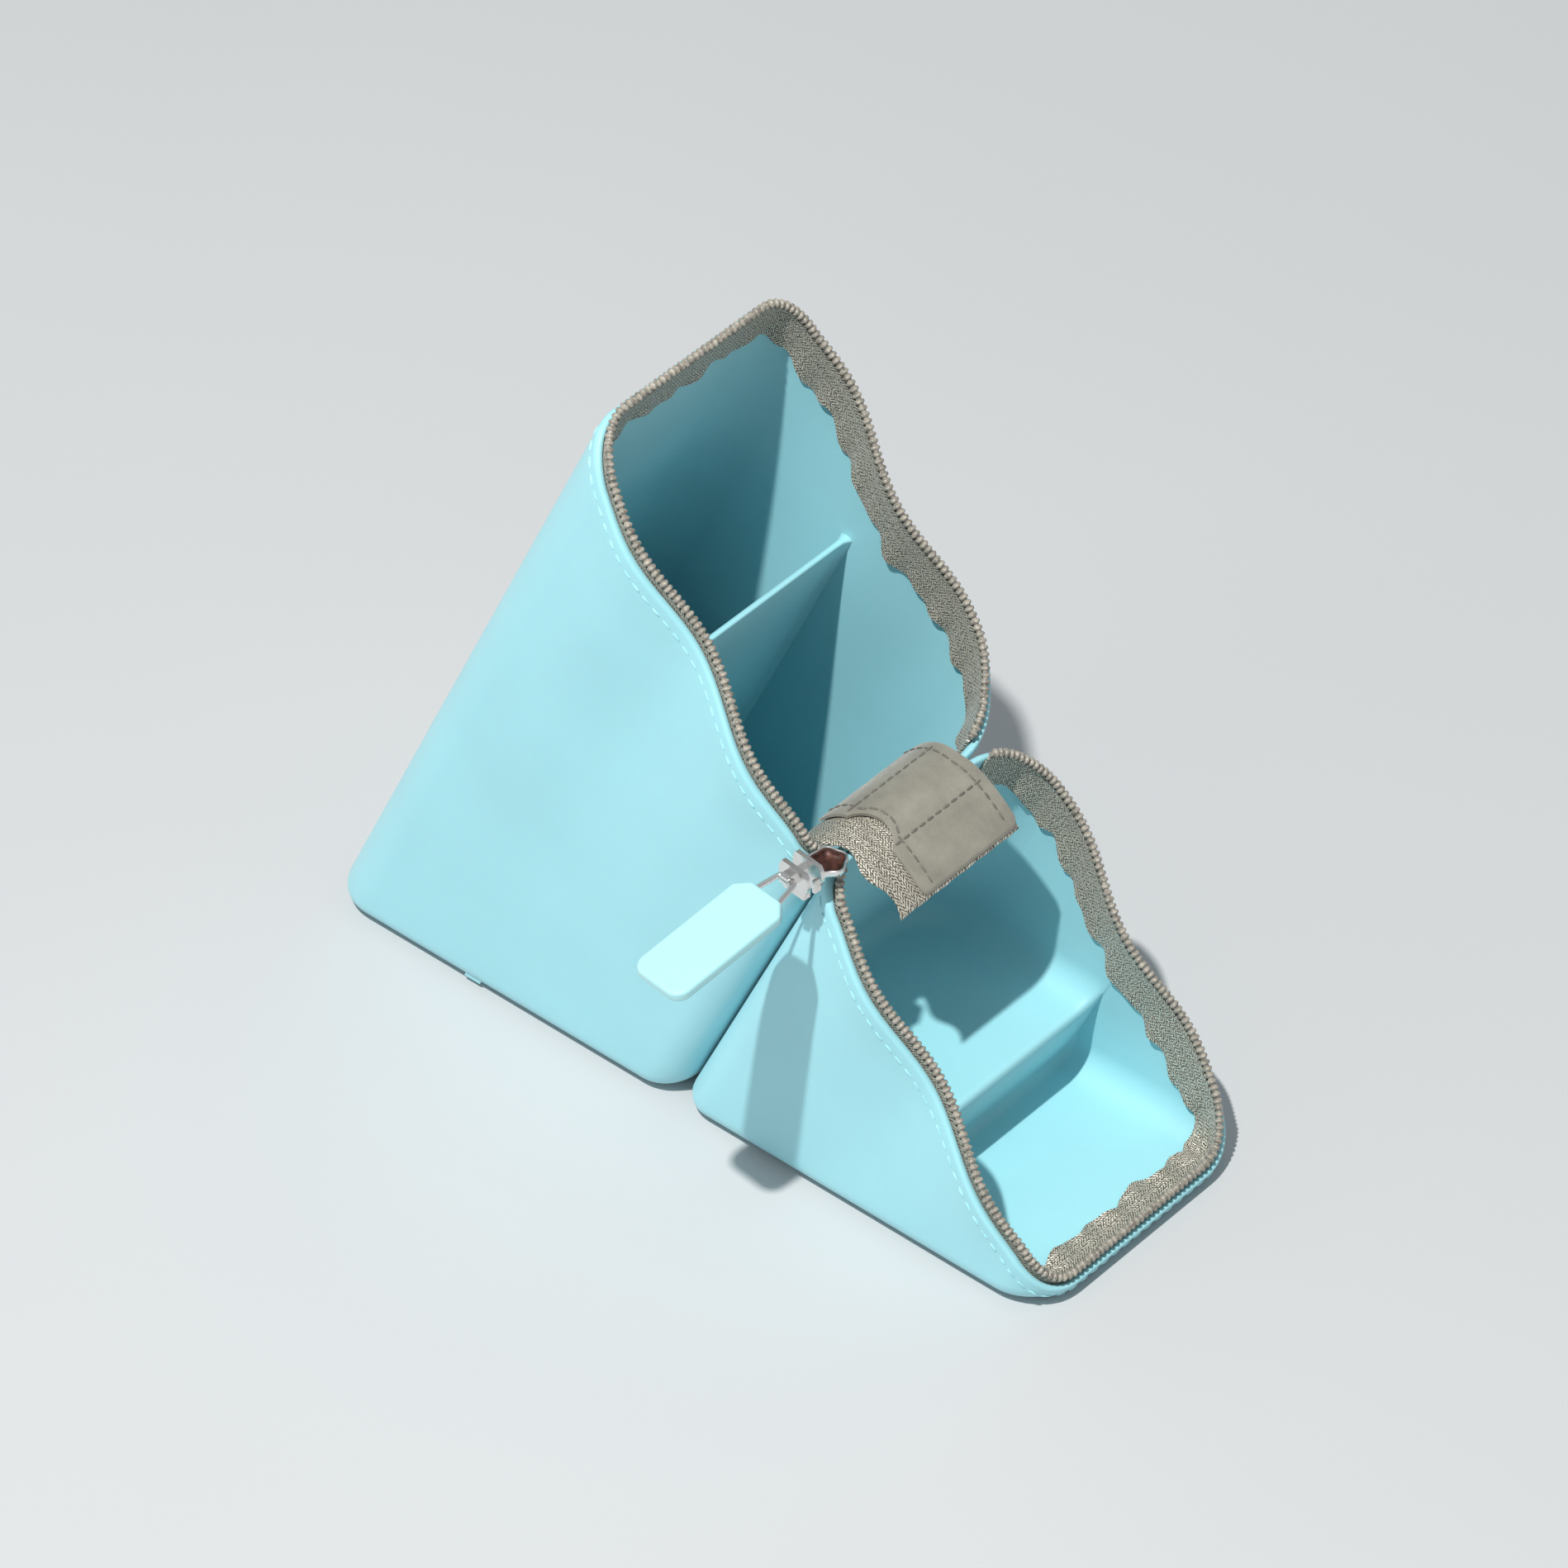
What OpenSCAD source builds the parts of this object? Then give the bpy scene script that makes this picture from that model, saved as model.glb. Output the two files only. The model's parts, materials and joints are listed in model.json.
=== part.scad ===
// Zip case of moulded silicone, standing open as two cups that fold together.
// The fold line runs along Y at x = 0. The tall cup is on the -X side of it.

/* [Case] */
// Length of each cup at one height
case_len = 106; // [88:1:130]
// Depth of the case from front to back
case_depth = 70; // [60:1:90]
// Height of the fold line above the table
fold_h = 95; // [78:1:120]
// Height of the mouth at the short cup's low end
low_end_h = 8; // [7:0.5:14]
// Lean of the walls from upright, in degrees
lean = 25; // [0:1:27]
// Silicone wall thickness
wall_t = 2; // [1.6:0.1:2.6]
// Silicone floor thickness
floor_t = 2.6; // [2:0.1:3.2]

/* [Rounding] */
// Outside rounding between walls and base
base_r = 6; // [3:0.5:8]
// Inside rounding between walls and floor
inner_r = 7; // [4:0.5:9]
// Upright corners at the two far ends
far_corner_r = 13; // [10:0.5:18]
// Upright corners at the back end of the fold
back_corner_r = 18.5; // [12:0.5:22]
// Upright corners at the slider end of the fold
front_corner_r = 9; // [7:0.5:12]
// How far the long rims bow out and in
rim_wave = 2.4; // [0:0.1:3]

/* [Compartments] */
// Distance from the fold to the tall cup's divider
divider_at = 60; // [45:1:68]
// Height of the divider's top edge
divider_h = 119; // [80:1:125]
// Divider thickness
divider_t = 1.8; // [1.4:0.1:3]
// Distance from the fold to the short cup's step
step_at = 56; // [40:1:62]
// Height of the raised floor beside the fold
step_h = 25; // [12:1:28]

/* [Zip] */
// Distance from the parting plane down to the silicone rim
rim_drop = 3.4; // [3:0.1:5]
// Tape thickness
tape_t = 0.7; // [0.5:0.05:0.9]
// Width of tape inside the mouth
tape_w = 10; // [8:0.5:13]
// Radius of the coil
coil_r = 1.15; // [0.9:0.05:1.3]
// Radius of the filler cord in the coil
core_r = 0.5; // [0.3:0.05:0.6]
// Length of one rim stitch
stitch_len = 2.6; // [2:0.1:3.5]
// Distance from one rim stitch to the next
stitch_pitch = 4.4; // [4:0.1:6]

/* [Fold] */
// Width of the suede patch along the fold
patch_w = 31; // [24:1:36]
// Reach of the patch into the tall cup
patch_reach_tall = 15.5; // [10:0.5:18]
// Reach of the patch into the short cup
patch_reach_short = 15.5; // [10:0.5:18]
// Suede thickness
patch_t = 1.1; // [0.8:0.1:1.4]

/* [Slider and pull] */
// Width of the slider
slider_w = 9; // [8:0.5:11]
// Height of the slider
slider_h = 9; // [8:0.5:11]
// Thickness of each slider plate
plate_t = 1.1; // [0.9:0.1:1.4]
// Radius of the bail wire
wire_r = 0.7; // [0.6:0.05:0.8]
// Length of the bail from pin to end bar
bail_len = 9; // [8:0.5:12]
// Length of the pull tab
tab_len = 33; // [24:1:40]
// Width of the pull tab
tab_w = 15; // [13:0.5:18]
// Thickness of the pull tab
tab_t = 2.8; // [2.4:0.1:3.4]
// Droop of the pull at rest, in degrees
tab_droop = 10; // [0:1:30]
// Turn of the slider about upright, in degrees
slider_turn = -6; // [-8:1:8]

/* [Hidden] */

TALL = -1;
SHORT = 1;
aqua = [0.66, 0.90, 0.94];
mint = [0.72, 0.96, 0.95];
taupe = [0.55, 0.53, 0.47];
thread_grey = [0.62, 0.60, 0.54];
steel = [0.80, 0.80, 0.79];

fold_gap = 0.3;          // half of the space between the two cups at the fold
fit_gap = 0.05;          // space between pieces that lie against each other
half_depth = case_depth / 2;
fall = (fold_h - low_end_h) / case_len;
lean_tan = tan(lean);
coil_drop = coil_r + 0.25;
tape_top = coil_drop + coil_r + fit_gap;
coil_inset = wall_t + fit_gap + tape_t / 2;

// ---------- outline: one station is [centre s, centre y, normal s, normal y, radius] ----------
// s is the distance from the fold, so the same outline serves both cups.
end_steps = 4;
flat_r = 30;             // stands in for the radius of a straight stretch
turns = [0 : 15 : 90];

// Stations between a and b; ends = 1 takes in a and b themselves.
function stretch(a, b, n, ns, ny, ends = 0) =
    [for (i = [1 - ends : n - 1 + ends])
        let (p = a + (b - a) * i / n) [p[0] - ns * flat_r, p[1] - ny * flat_r, ns, ny, flat_r]];

front_corner = [for (a = turns)
    [fold_gap + front_corner_r, front_corner_r - half_depth, -cos(a), -sin(a), front_corner_r]];
far_front_corner = [for (a = turns)
    [case_len - far_corner_r, far_corner_r - half_depth, sin(a), -cos(a), far_corner_r]];
far_back_corner = [for (a = turns)
    [case_len - far_corner_r, half_depth - far_corner_r, cos(a), sin(a), far_corner_r]];
back_corner = [for (a = turns)
    [fold_gap + back_corner_r, half_depth - back_corner_r, -sin(a), cos(a), back_corner_r]];
step_edge = 0.04;        // half the run of the step's riser
near_steps = 6;
far_steps = 5;
front_side = concat(
    stretch([fold_gap + front_corner_r, -half_depth], [step_at - step_edge, -half_depth], near_steps, 0, -1),
    stretch([step_at - step_edge, -half_depth], [step_at + step_edge, -half_depth], 1, 0, -1, 1),
    stretch([step_at + step_edge, -half_depth], [case_len - far_corner_r, -half_depth], far_steps, 0, -1));
far_side = stretch([case_len, far_corner_r - half_depth], [case_len, half_depth - far_corner_r],
    end_steps, 1, 0);
back_side = concat(
    stretch([case_len - far_corner_r, half_depth], [step_at + step_edge, half_depth], far_steps, 0, 1),
    stretch([step_at + step_edge, half_depth], [step_at - step_edge, half_depth], 1, 0, 1, 1),
    stretch([step_at - step_edge, half_depth], [fold_gap + back_corner_r, half_depth], near_steps, 0, 1));
fold_side = stretch([fold_gap, half_depth - back_corner_r], [fold_gap, front_corner_r - half_depth],
    end_steps, -1, 0);

mouth = concat(front_corner, front_side, far_front_corner, far_side, far_back_corner, back_side, back_corner);
loop = concat(mouth, fold_side);

function spot(st, inset) = let (r = max(st[4] - inset, 0.3)) [st[0] + st[2] * r, st[1] + st[3] * r];

// ---------- surfaces ----------
// Height of the parting plane above the table at wall coordinate s.
function plane_z(side, s) = fold_h - side * s * fall;
function bow(s) = let (u = min(max(s / case_len, 0), 1)) -cos(720 * u) * (1 - pow(2 * u - 1, 6));
// A point at wall coordinate s, depth y and height z, leaned and bowed.
function place(side, p, z) =
    let (reach = min(max(z / plane_z(side, p[0]), 0), 1))
    [side * p[0] + (z - fold_h) * lean_tan,
     p[1] * (1 + rim_wave * bow(p[0]) * reach * reach / half_depth),
     z];
function top_z(side, st) = plane_z(side, spot(st, 0)[0]);
function rim_z(side, st) = top_z(side, st) - rim_drop;
function on_wall(side, st, inset, drop) = place(side, spot(st, inset), top_z(side, st) - drop);
function outer_round(side, st) = min(base_r, 0.8 * rim_z(side, st));
// The floor inside: raised beside the fold in the short cup.
function floor_z(side, st) = side == SHORT && spot(st, 0)[0] < step_at ? step_h : floor_t;
function inner_round(side, st) = min(inner_r, 0.9 * (rim_z(side, st) - floor_z(side, st)));

arcs = [0 : 30 : 90];
lifts = [0.15, 0.35, 0.55, 0.75, 0.9, 1];
function outer_base(side) = [for (a = arcs) [for (st = loop)
    let (r = outer_round(side, st)) place(side, spot(st, r * (1 - sin(a))), r * (1 - cos(a)))]];
function outer_wall(side) = [for (t = lifts) [for (st = loop)
    let (r = outer_round(side, st)) place(side, spot(st, 0), r + t * (rim_z(side, st) - r))]];
function inner_wall(side) = [for (i = [len(lifts) - 1 : -1 : 0]) [for (st = loop)
    let (foot = floor_z(side, st) + inner_round(side, st))
    place(side, spot(st, wall_t), foot + lifts[i] * (rim_z(side, st) - foot))]];
function inner_base(side) = [for (a = [90 : -30 : 0]) [for (st = loop)
    let (r = inner_round(side, st))
    place(side, spot(st, wall_t + r * (1 - sin(a))), floor_z(side, st) + r * (1 - cos(a)))]];

function turned(faces) = [for (f = faces) [for (i = [len(f) - 1 : -1 : 0]) f[i]]];
function web(n, m) = [for (j = [0 : m - 2], i = [0 : n - 1], k = [0, 1])
    let (a = j * n + i, b = j * n + (i + 1) % n) k == 0 ? [a, b, a + n] : [b, b + n, a + n]];
// Closed solid through equal cross-sections, capped at both ends.
module loft(sections, reverse) {
    n = len(sections[0]);
    m = len(sections);
    caps = [[for (i = [n - 1 : -1 : 0]) i], [for (i = [0 : n - 1]) (m - 1) * n + i]];
    faces = concat(web(n, m), caps);
    polyhedron([for (s = sections) each s], reverse ? turned(faces) : faces, convexity = 6);
}

// ---------- cups ----------
function middle(points) = [for (k = [0 : 2]) (max([for (p = points) p[k]]) + min([for (p = points) p[k]])) / 2];
// Fan of triangles from vertex c round the listed vertices, closed back to the first.
function fan(c, run) = [for (i = [0 : len(run) - 1]) [c, run[i], run[(i + 1) % len(run)]]];
module shell(side) {
    rings = concat(outer_base(side), outer_wall(side), inner_wall(side), inner_base(side));
    n = len(loop);
    last = n * (len(rings) - 1);
    centre = n * len(rings);
    floor_ring = rings[len(rings) - 1];
    near = [for (i = [0 : n - 1]) if (spot(loop[i], 0)[0] < step_at) i];
    far = [for (i = [0 : n - 1]) if (spot(loop[i], 0)[0] > step_at) i];
    f = far[0] - 1;
    b = far[len(far) - 1] + 1;
    near_run = concat([for (i = [b : n - 1]) last + i], [for (i = [0 : f]) last + i]);
    far_run = [for (i = far) last + i];
    riser = [[last + f, last + f + 1, last + b - 1], [last + f, last + b - 1, last + b]];
    floors = side == TALL ? fan(centre + 1, [for (i = [0 : n - 1]) last + i])
        : concat(fan(centre + 1, far_run), fan(centre + 2, near_run), riser);
    faces = concat(web(n, len(rings)), fan(centre, [for (i = [n - 1 : -1 : 0]) i]), floors);
    points = concat([for (ring = rings) each ring], [middle(rings[0])],
        side == TALL ? [middle(floor_ring)]
        : [middle([for (i = far) floor_ring[i]]), middle([for (i = near) floor_ring[i]])]);
    polyhedron(points, side == SHORT ? turned(faces) : faces, convexity = 6);
}
// Cross-section at height z of the tall cup's divider, let into the middle of the walls.
function divider_section(z) =
    let (dip = max(1 - z / base_r, 0), edge = half_depth - wall_t / 2 - base_r * (1 - sqrt(1 - dip * dip)),
         near = divider_at - divider_t / 2, far = divider_at + divider_t / 2)
    [for (p = [[near, -edge], [far, -edge], [far, edge], [near, edge]]) place(TALL, p, z)];
module tall_cup() {
    color(aqua) {
        shell(TALL);
        loft([for (z = [floor_t / 2, base_r, divider_h / 2, divider_h]) divider_section(z)], false);
    }
}
module short_cup() {
    color(aqua)
        shell(SHORT);
}

// ---------- zip ----------
zip_start = 3;                    // stations left out beside the slider
zip_end = len(mouth) - 3;         // last station before the fold
zip_run = [for (i = [zip_start : zip_end]) mouth[i]];
// Point q below the parting plane on the inside: down the wall, round the fillet, along the floor.
function lining(side, st, q, off) =
    let (r = inner_round(side, st), floor_h = floor_z(side, st), straight = top_z(side, st) - floor_h - r,
         ang = (q - straight) / r * 180 / PI, bend = r * PI / 2)
    q < straight ? place(side, spot(st, wall_t + off), top_z(side, st) - q)
    : q < straight + bend
        ? place(side, spot(st, wall_t + r - (r - off) * cos(ang)), floor_h + r - (r - off) * sin(ang))
        : place(side, spot(st, wall_t + r + q - straight - bend), floor_h + off);
tape_rows = 6;
tape_near = 0.15;                 // space between the tape and the silicone
module tape(side) {
    qs = [for (i = [0 : tape_rows]) tape_top + (tape_w - tape_top) * i / tape_rows];
    color(taupe)
        loft([for (st = zip_run) concat(
            [for (q = qs) lining(side, st, q, tape_near)],
            [for (j = [tape_rows : -1 : 0]) lining(side, st, qs[j], tape_near + tape_t)])], side == SHORT);
}
// Round sections of radius r centred on the coil's line.
round_steps = [0 : 45 : 315];
function coil_sections(side, r) = [for (st = zip_run) let (n = [side * st[2], st[3], 0])
    [for (a = round_steps) on_wall(side, st, coil_inset, coil_drop) + r * cos(a) * n + [0, 0, r * sin(a)]]];
module coil(side) {
    outer = coil_sections(side, coil_r);
    bore = coil_sections(side, core_r + fit_gap);
    n = len(outer[0]);
    m = len(outer);
    base = n * m;
    inside = [for (f = turned(web(n, m))) [for (v = f) v + base]];
    ends = [for (e = [0, n * (m - 1)], i = [0 : n - 1], k = [0, 1])
        let (a = e + i, b = e + (i + 1) % n, f = k == 0 ? [a, base + a, b] : [b, base + a, base + b])
        e == 0 ? f : [f[2], f[1], f[0]]];
    faces = concat(web(n, m), inside, ends);
    color(taupe)
        polyhedron(concat([for (s = outer) each s], [for (s = bore) each s]),
            side == TALL ? turned(faces) : faces, convexity = 6);
}
module coil_core(side) {
    color(thread_grey)
        loft(coil_sections(side, core_r), side == TALL);
}

// ---------- stitches: one round thread for each dash ----------
thread_r = 0.25;
stitch_below = 3.2;               // from the rim down to the stitch line
function running(points, i = 0, total = 0) =
    i == len(points) ? []
    : let (d = i == 0 ? 0 : norm(points[i] - points[i - 1])) concat([total + d], running(points, i + 1, total + d));
function along(points, sums, d, i = 1) =
    i >= len(points) - 1 || sums[i] >= d
        ? points[i - 1] + (points[i] - points[i - 1]) * (d - sums[i - 1]) / (sums[i] - sums[i - 1])
        : along(points, sums, d, i + 1);
module rod(a, b, r, fn = 16) {
    v = b - a;
    translate(a)
        rotate([0, acos(v[2] / norm(v)), atan2(v[1], v[0])])
            cylinder(h = norm(v), r = r, $fn = fn);
}
module rim_thread(side) {
    proud = thread_r + 0.2;
    line = [for (st = zip_run)
        on_wall(side, st, -proud, min(rim_drop + stitch_below, top_z(side, st) - outer_round(side, st) * 0.7))];
    sums = running(line);
    color(thread_grey)
        for (d = [stitch_pitch : stitch_pitch : sums[len(sums) - 1] - stitch_pitch])
            rod(along(line, sums, d), along(line, sums, d + stitch_len), thread_r);
}

// ---------- fold: tape and suede strap arching over the two back-to-back walls ----------
strap_lift = 1.8;                 // from the strap's underside up to the fold line
strap_rise = 0.9;
strap_sag = 7;                    // drop at the strap's tall end
strap_dip = 0.9;                  // short half below the parting slope
strap_y = -1.5;                   // middle of the suede patch along the fold
fold_tape_w = patch_w + 8;
fold_tape_y = -5.5;               // middle of the tape under it
function strap_z(side, x, reach, off) =
    fold_h - strap_lift + off + (side == TALL
        ? strap_rise * sin(180 * min(x / reach, 1)) - strap_sag * pow(x / reach, 2.6)
        : -fall * x - strap_dip * min(x / 1.5, 1));
module strap(side, reach, past, off, t, width, mid) {
    xs = [fold_gap, 0.9, for (i = [1 : 10]) 0.9 + (reach + past - 0.9) * i / 10];
    under = [for (x = xs) [side * x, strap_z(side, x, reach, off)]];
    over = [for (i = [len(xs) - 1 : -1 : 0]) [side * xs[i], strap_z(side, xs[i], reach, off + t)]];
    translate([0, mid + width / 2, 0])
        rotate([90, 0, 0])
            linear_extrude(width)
                polygon(concat(under, over));
}
module fold_tape(side, reach) {
    color(taupe)
        strap(side, reach, 0.5, 0, tape_t, fold_tape_w, fold_tape_y);
}
scoop_r = 7;
scoop_out = 3;                    // the scoop's centre in front of the patch
module patch(side, reach) {
    color([0.58, 0.57, 0.51])
        difference() {
            strap(side, reach, 0, tape_t + fit_gap + 0.1, patch_t, patch_w, strap_y);
            translate([0, strap_y - patch_w / 2 - scoop_out, 0])
                cylinder(h = 2 * fold_h, r = scoop_r, $fn = 48);
        }
}
module patch_thread(side, reach) {
    lift = tape_t + patch_t + 3 * fit_gap + thread_r + 0.1;
    margin = 4;
    cross = [strap_y - patch_w / 2 + margin + 2, strap_y + patch_w / 2 - margin];
    x_line = reach * 0.55;
    color(thread_grey) {
        for (y = cross, i = [1 : 4])
            let (x0 = reach * (i - 0.3) / 5, x1 = reach * (i + 0.3) / 5)
            rod([side * x0, y, strap_z(side, x0, reach, lift)],
                [side * x1, y, strap_z(side, x1, reach, lift)], thread_r);
        for (y = [cross[0] + 1.2 : 3.4 : cross[1] - 2.6])
            rod([side * x_line, y, strap_z(side, x_line, reach, lift)],
                [side * x_line, y + 2.2, strap_z(side, x_line, reach, lift)], thread_r);
    }
}

// ---------- slider and pull ----------
plate_gap = 2.9;                  // channel between the two plates
slider_back = 0.4;                // from the cups' front to the slider's back plate
slider_x = -1;
slider_y = -half_depth - slider_back - plate_t - plate_gap / 2;
slider_z = fold_h + 1.2;
mouth_r = slider_w / 2;
lug_len = 3;
lug_w = 2.4;
lug_h = 3;
pin_z = 0.6;                      // pin height in the slider's own frame
running_gap = 0.06;
front_face = -plate_gap / 2 - plate_t;
pin_y = front_face - lug_len + lug_h / 2;
module at_slider() {
    translate([slider_x, slider_y, slider_z])
        rotate([0, 0, slider_turn])
            children();
}
// Plate outline: a wide crown over a narrower tail.
module plate(y) {
    tail = slider_h - mouth_r;
    translate([0, y + plate_t, 0])
        rotate([90, 0, 0])
            linear_extrude(plate_t)
                difference() {
                    union() {
                        circle(r = mouth_r, $fn = 64);
                        translate([-mouth_r * 0.72, -tail])
                            square([mouth_r * 1.44, tail]);
                    }
                    translate([-mouth_r, mouth_r * 0.62])
                        square(2 * mouth_r);
                }
}
module slider_body() {
    post_w = 2.2;
    lip = 0.8;
    lip_h = 3.4;
    color(steel)
        at_slider() {
            plate(front_face);
            plate(plate_gap / 2);
            translate([0, plate_gap / 2 + plate_t / 2, 0])
                rotate([90, 0, 0])
                    linear_extrude(plate_gap + plate_t)
                        polygon([[-post_w / 2, 1.6], [0, -1.4], [post_w / 2, 1.6], [0, 2.6]]);
            for (x = [-1, 1], y = [-plate_gap / 2, plate_gap / 2 - lip])
                translate([x * (mouth_r * 0.72 - lip / 2) - lip / 2, y, -slider_h + mouth_r])
                    cube([lip, lip, lip_h]);
        }
}
module slider_lug() {
    color(steel)
        at_slider()
            difference() {
                union() {
                    translate([-lug_w / 2, pin_y, pin_z - lug_h / 2])
                        cube([lug_w, front_face - pin_y, lug_h]);
                    translate([-lug_w / 2, pin_y, pin_z])
                        rotate([0, 90, 0])
                            cylinder(h = lug_w, r = lug_h / 2, $fn = 48);
                }
                translate([-lug_w, pin_y, pin_z])
                    rotate([0, 90, 0])
                        cylinder(h = 2 * lug_w, r = wire_r + running_gap, $fn = 48);
            }
}
module at_pull() {
    at_slider()
        translate([0, pin_y, pin_z])
            rotate([tab_droop, 0, 0])
                children();
}
pin_half = lug_w / 2 + 0.3 + wire_r;
end_half = 4;
arm_r = wire_r - 0.05;
// The bail's four straight runs: pin, two arms and end bar, each let into the next.
module bail_runs(grow) {
    lap = wire_r + grow;
    rod([-pin_half - lap, 0, 0], [pin_half + lap, 0, 0], wire_r + grow, 48);
    rod([-end_half - lap, -bail_len, 0], [end_half + lap, -bail_len, 0], wire_r + grow, 48);
    for (x = [-1, 1])
        rod([x * pin_half, 0, 0], [x * end_half, -bail_len, 0], arm_r + grow, 48);
}
module pull_bail() {
    color(steel)
        at_pull()
            bail_runs(0);
}
tab_lap = 3;                      // tab beyond the bail's end bar, towards the slider
tab_chamfer = 3;
tab_end_r = 3.5;
function tab_outline() =
    let (near = tab_lap - bail_len, far = near - tab_len, half = tab_w / 2, mid = half - tab_end_r)
    concat([[-half, near - tab_chamfer], [tab_chamfer - half, near], [half - tab_chamfer, near],
            [half, near - tab_chamfer]],
        [for (a = [0 : 10 : 90]) [mid + tab_end_r * cos(a), far + tab_end_r - tab_end_r * sin(a)]],
        [for (a = [90 : -10 : 0]) [-mid - tab_end_r * cos(a), far + tab_end_r - tab_end_r * sin(a)]]);
module pull_tab() {
    wire_gap = 0.02;
    color(mint)
        at_pull()
            difference() {
                translate([0, 0, -tab_t / 2])
                    linear_extrude(tab_t)
                        polygon(tab_outline());
                bail_runs(wire_gap);
            }
}

tall_cup();
short_cup();
tape(TALL);  // tall_tape
tape(SHORT);  // short_tape
coil(TALL);  // tall_coil
coil(SHORT);  // short_coil
coil_core(TALL);  // tall_coil_core
coil_core(SHORT);  // short_coil_core
rim_thread(TALL);  // tall_rim_thread
rim_thread(SHORT);  // short_rim_thread
fold_tape(TALL, patch_reach_tall);  // fold_tape_tall
fold_tape(SHORT, patch_reach_short);  // fold_tape_short
patch(TALL, patch_reach_tall);  // patch_tall
patch(SHORT, patch_reach_short);  // patch_short
patch_thread(TALL, patch_reach_tall);  // patch_thread_tall
patch_thread(SHORT, patch_reach_short);  // patch_thread_short
slider_body();
slider_lug();
pull_bail();
pull_tab();
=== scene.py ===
import json
import math

import bpy
import numpy as np
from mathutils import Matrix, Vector


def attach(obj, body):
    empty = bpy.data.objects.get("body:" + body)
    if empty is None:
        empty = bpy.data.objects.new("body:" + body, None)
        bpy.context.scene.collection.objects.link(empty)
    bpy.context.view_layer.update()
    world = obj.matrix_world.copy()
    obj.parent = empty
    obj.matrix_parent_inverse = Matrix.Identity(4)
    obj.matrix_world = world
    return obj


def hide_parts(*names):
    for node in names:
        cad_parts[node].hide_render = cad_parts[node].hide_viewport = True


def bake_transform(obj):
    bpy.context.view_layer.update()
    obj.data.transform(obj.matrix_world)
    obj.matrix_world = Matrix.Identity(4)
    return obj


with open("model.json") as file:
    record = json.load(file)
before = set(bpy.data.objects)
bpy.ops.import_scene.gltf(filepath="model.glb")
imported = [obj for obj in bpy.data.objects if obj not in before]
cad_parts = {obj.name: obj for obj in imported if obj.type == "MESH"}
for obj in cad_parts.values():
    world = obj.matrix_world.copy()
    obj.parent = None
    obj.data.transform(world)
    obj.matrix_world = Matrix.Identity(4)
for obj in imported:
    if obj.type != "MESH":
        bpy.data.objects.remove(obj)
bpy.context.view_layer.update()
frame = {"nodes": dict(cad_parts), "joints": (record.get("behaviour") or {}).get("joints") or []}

bl_info = {
    "name": "Silicone Zip Bag",
    "version": (1, 0, 0),
    "blender": (4, 5, 0),
    "location": "View3D > Sidebar > Zip Bag",
    "description": "Builds a two-cup silicone zip bag with woven tape, coil, suede fold patch and pull",
    "category": "Mesh",
}

MM = 0.001
TALL, SHORT = -1, 1
BODY = {TALL: "tall", SHORT: "short"}
JOINTS = {j["name"]: j for j in frame["joints"]}
FOLD_H = JOINTS["fold"]["pos_m"][2] / MM
PIN = np.array(JOINTS["pull_swing"]["pos_m"]) / MM

# ---------------------------------------------------------------- sizes, in millimetres
CASE_LEN = 106.0
HALF_DEPTH = 35.0
LOW_END_H = 8.0
LEAN = math.tan(math.radians(25))
WALL = 2.0
FLOOR = 2.6
BASE_R = 6.0
INNER_R = 7.0
FAR_R, BACK_R, FRONT_R = 13.0, 18.5, 9.0
RIM_WAVE = 2.4
FOLD_GAP = 0.3
RIM_DROP = 3.4
STEP_AT, STEP_H = 56.0, 25.0
DIVIDER_AT, DIVIDER_H = 60.0, 119.0
FALL = (FOLD_H - LOW_END_H) / CASE_LEN
COIL_INSET, COIL_DROP = 2.4, 1.4
TAPE_TOP, TAPE_THICK, TAPE_GAP = 2.65, 0.7, 0.12
TURN_HALF_LENGTH, CORD_R = 0.66, 0.62
STITCH_DROP = 3.2
RIM_STITCH, PATCH_STITCH = (1.25, 0.24, 0.27), (1.05, 0.26, 0.3)
PATCH_PITCH = 2.6
MOULD_LINE_Z, MOULD_LINE_WIDTH, MOULD_LINE_PROUD = 9.5, 0.35, 0.16
NOSE, COVE = 2.6, 3.4

# The strap: an arch over the fold, with the tape under the suede.
STRAP_Y, PATCH_W, REACH = -1.5, 31.0, 15.5
STRAP_LIFT, STRAP_RISE = 1.7, 0.9
TALL_SAG, SHORT_SAG = 7, 10
TAPE_MID_Y, TAPE_HALF = -5.5, 19.5
SCOOP_R, SCOOP_OUT = 7, 3
PATCH_CORNER = 1.6
TAPE_OFF, FOLD_TAPE_THICK = -0.1, 0.6
PATCH_OFF, PATCH_THICK = 0.95, 1.0
THREAD_LIFT, SEAM_IN = 0.12, 3.2
LONG_SEAMS = (-7.2, 6.2)

# The slider's mouth, then the bail and tab in the pull's own frame.
MOUTH = (1.0, -31.8, 1.4)
TURN, DROOP = math.radians(-6), math.radians(10)
PIN_HALF, END_HALF, BAIL_LEN, WIRE_BEND = 2.2, 4.0, 9.0, 1.0
TAB_LAP, TAB_LEN, TAB_HALF_W, TAB_HALF_T = 3.0, 33.0, 7.5, 1.4
TAB_CHAMFER, TAB_END_R = 3, 3.5

# Camera, in degrees and metres, aimed at a point above the fold's foot.
CAMERA_AZ, CAMERA_EL, CAMERA_DISTANCE, CAMERA_LENS = 40.7, 42.0, 2.23, 236.0
CAMERA_SHIFT = (-0.167 / 1.898, 0.153 / 1.898)
AIM = Vector((0, 0, 0.06))


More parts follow.
